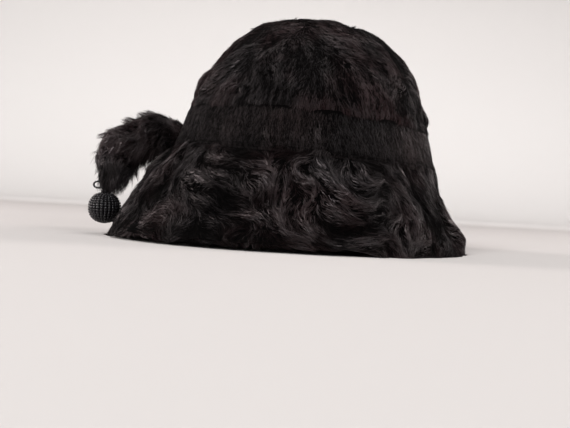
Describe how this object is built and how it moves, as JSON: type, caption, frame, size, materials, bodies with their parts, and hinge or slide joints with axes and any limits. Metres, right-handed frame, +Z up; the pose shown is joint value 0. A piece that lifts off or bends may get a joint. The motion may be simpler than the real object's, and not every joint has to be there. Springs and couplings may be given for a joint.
{
  "type": "cloche hat",
  "caption": "Soft cloche hat of short curly fur with a domed crown, a smooth fur band, a flared brim and a curled side tail that ends in a beaded ball.",
  "frame": {"origin": "middle of the whole object's box in plan, on the surface that the brim stands on", "axes": "+Z up through the crown; the front faces -Y; the tail and the beaded ball are on the -X side, which is the wearer's right"},
  "size_m": [0.2658, 0.2648, 0.159],
  "materials": {
    "curly_fur": "short curly black fur with a soft sheen",
    "smooth_fur": "short smooth black fur",
    "jet_beads": "polished black beads"
  },
  "bodies": {
    "root": {"crown": "curly_fur", "band": "smooth_fur", "brim": "curly_fur", "tail": "curly_fur", "bead_stalk": "jet_beads", "beaded_ball": "jet_beads"}
  },
  "joints": []
}
